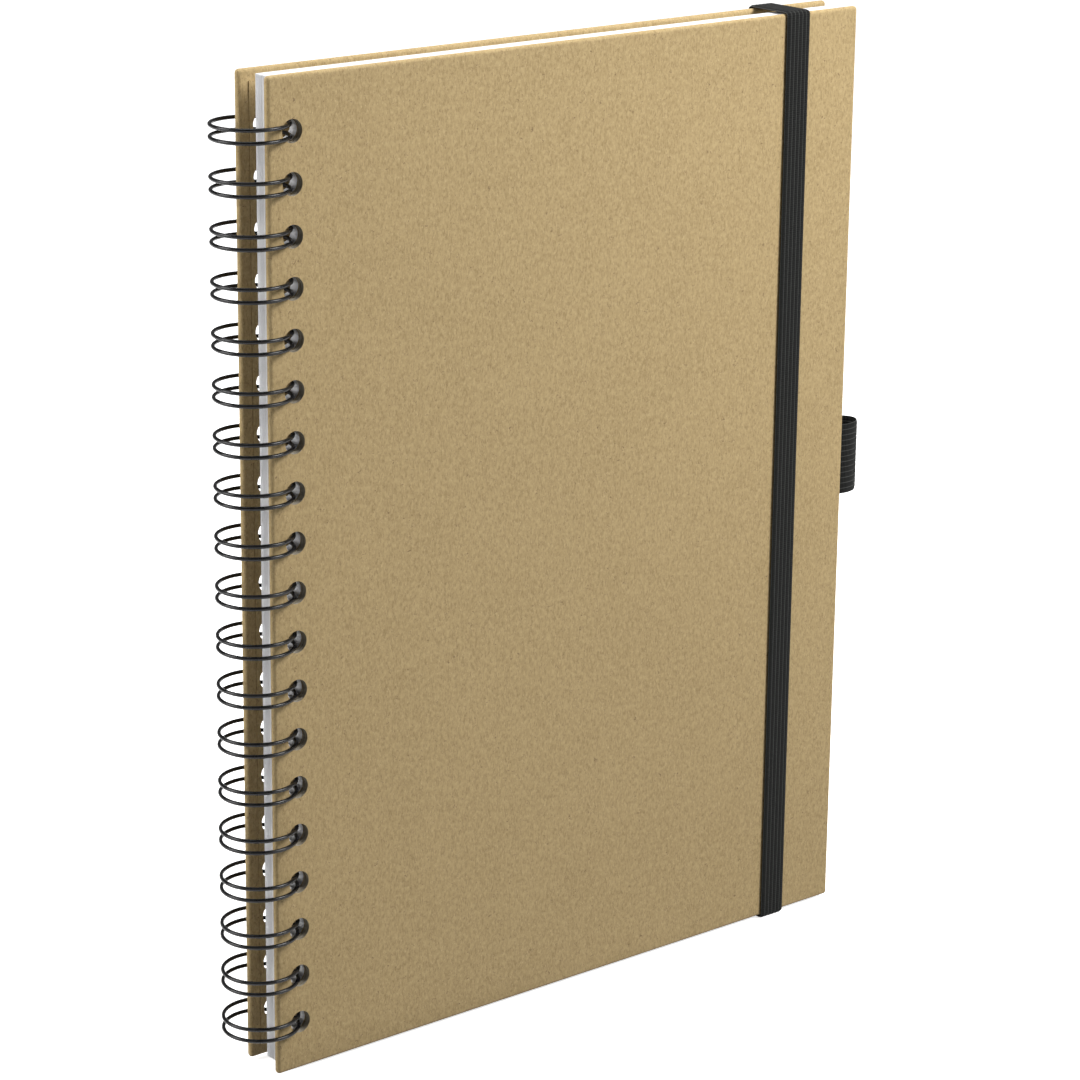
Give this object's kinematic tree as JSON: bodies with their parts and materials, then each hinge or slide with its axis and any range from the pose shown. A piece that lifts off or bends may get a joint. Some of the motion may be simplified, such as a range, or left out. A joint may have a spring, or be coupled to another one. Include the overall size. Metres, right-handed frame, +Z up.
{
  "type": "sketchbook",
  "caption": "Wire-bound hardcover sketchbook with kraft covers, white leaves, an elastic closing band and a pen loop; the cover and leaves turn on the rings.",
  "frame": {"origin": "middle of the bottom of the whole object's box, with the book standing on its lower edge", "axes": "+Z up along the spine, +X from the spine towards the fore-edge, -Y out of the front cover"},
  "size_m": [0.2142, 0.0198, 0.2566],
  "materials": {
    "kraft_paper": "matte natural brown kraft with fine fibre flecks",
    "grey_board": "matte grey board",
    "drawing_paper": "matte white drawing paper",
    "black_wire": "satin black coated wire",
    "black_elastic": "matte ribbed woven elastic",
    "black_ribbon": "matte ribbed elastic ribbon"
  },
  "bodies": {
    "back_cover": {"back_cover_wrap": "kraft_paper", "back_board": "grey_board", "back_endpaper": "kraft_paper", "twin_loop_wire": "black_wire", "elastic_band": "black_elastic", "pen_loop": "black_ribbon"},
    "front_cover": {"front_cover_wrap": "kraft_paper", "front_board": "grey_board", "front_endpaper": "kraft_paper"},
    "leaves_01": {"leaf_group_01": "drawing_paper"},
    "leaves_02": {"leaf_group_02": "drawing_paper"},
    "leaves_03": {"leaf_group_03": "drawing_paper"},
    "leaves_04": {"leaf_group_04": "drawing_paper"},
    "leaves_05": {"leaf_group_05": "drawing_paper"},
    "leaves_06": {"leaf_group_06": "drawing_paper"},
    "leaves_07": {"leaf_group_07": "drawing_paper"},
    "leaves_08": {"leaf_group_08": "drawing_paper"},
    "leaves_09": {"leaf_group_09": "drawing_paper"},
    "leaves_10": {"leaf_group_10": "drawing_paper"},
    "leaves_11": {"leaf_group_11": "drawing_paper"},
    "leaves_12": {"leaf_group_12": "drawing_paper"}
  },
  "joints": [
    {"name": "front_cover_hinge", "type": "hinge", "parent": "back_cover", "child": "front_cover", "pos_m": [-0.09713, 0, 0.1283], "axis": [0, 0, -1], "range_deg": [0, 180], "deforming": ["elastic_band"]},
    {"name": "leaves_01_turn", "type": "hinge", "parent": "back_cover", "child": "leaves_01", "pos_m": [-0.09713, 0, 0.1283], "axis": [0, 0, -1], "range_deg": [0, 177.8]},
    {"name": "leaves_02_turn", "type": "hinge", "parent": "back_cover", "child": "leaves_02", "pos_m": [-0.09713, 0, 0.1283], "axis": [0, 0, -1], "range_deg": [0, 176]},
    {"name": "leaves_03_turn", "type": "hinge", "parent": "back_cover", "child": "leaves_03", "pos_m": [-0.09713, 0, 0.1283], "axis": [0, 0, -1], "range_deg": [0, 174.2]},
    {"name": "leaves_04_turn", "type": "hinge", "parent": "back_cover", "child": "leaves_04", "pos_m": [-0.09713, 0, 0.1283], "axis": [0, 0, -1], "range_deg": [0, 172.4]},
    {"name": "leaves_05_turn", "type": "hinge", "parent": "back_cover", "child": "leaves_05", "pos_m": [-0.09713, 0, 0.1283], "axis": [0, 0, -1], "range_deg": [0, 170.6]},
    {"name": "leaves_06_turn", "type": "hinge", "parent": "back_cover", "child": "leaves_06", "pos_m": [-0.09713, 0, 0.1283], "axis": [0, 0, -1], "range_deg": [0, 168.8]},
    {"name": "leaves_07_turn", "type": "hinge", "parent": "back_cover", "child": "leaves_07", "pos_m": [-0.09713, 0, 0.1283], "axis": [0, 0, -1], "range_deg": [0, 12.2]},
    {"name": "leaves_08_turn", "type": "hinge", "parent": "back_cover", "child": "leaves_08", "pos_m": [-0.09713, 0, 0.1283], "axis": [0, 0, -1], "range_deg": [0, 10.4]},
    {"name": "leaves_09_turn", "type": "hinge", "parent": "back_cover", "child": "leaves_09", "pos_m": [-0.09713, 0, 0.1283], "axis": [0, 0, -1], "range_deg": [0, 8.6]},
    {"name": "leaves_10_turn", "type": "hinge", "parent": "back_cover", "child": "leaves_10", "pos_m": [-0.09713, 0, 0.1283], "axis": [0, 0, -1], "range_deg": [0, 6.8]},
    {"name": "leaves_11_turn", "type": "hinge", "parent": "back_cover", "child": "leaves_11", "pos_m": [-0.09713, 0, 0.1283], "axis": [0, 0, -1], "range_deg": [0, 5]},
    {"name": "leaves_12_turn", "type": "hinge", "parent": "back_cover", "child": "leaves_12", "pos_m": [-0.09713, 0, 0.1283], "axis": [0, 0, -1], "range_deg": [0, 3.2]}
  ],
  "couplings": [
    {"joint": "leaves_01_turn", "follows": "front_cover_hinge", "ratio": 0.985},
    {"joint": "leaves_02_turn", "follows": "front_cover_hinge", "ratio": 0.975},
    {"joint": "leaves_03_turn", "follows": "front_cover_hinge", "ratio": 0.965},
    {"joint": "leaves_04_turn", "follows": "front_cover_hinge", "ratio": 0.955},
    {"joint": "leaves_05_turn", "follows": "front_cover_hinge", "ratio": 0.945},
    {"joint": "leaves_06_turn", "follows": "front_cover_hinge", "ratio": 0.935},
    {"joint": "leaves_07_turn", "follows": "front_cover_hinge", "ratio": 0.065},
    {"joint": "leaves_08_turn", "follows": "front_cover_hinge", "ratio": 0.055},
    {"joint": "leaves_09_turn", "follows": "front_cover_hinge", "ratio": 0.045},
    {"joint": "leaves_10_turn", "follows": "front_cover_hinge", "ratio": 0.035},
    {"joint": "leaves_11_turn", "follows": "front_cover_hinge", "ratio": 0.025},
    {"joint": "leaves_12_turn", "follows": "front_cover_hinge", "ratio": 0.015}
  ]
}
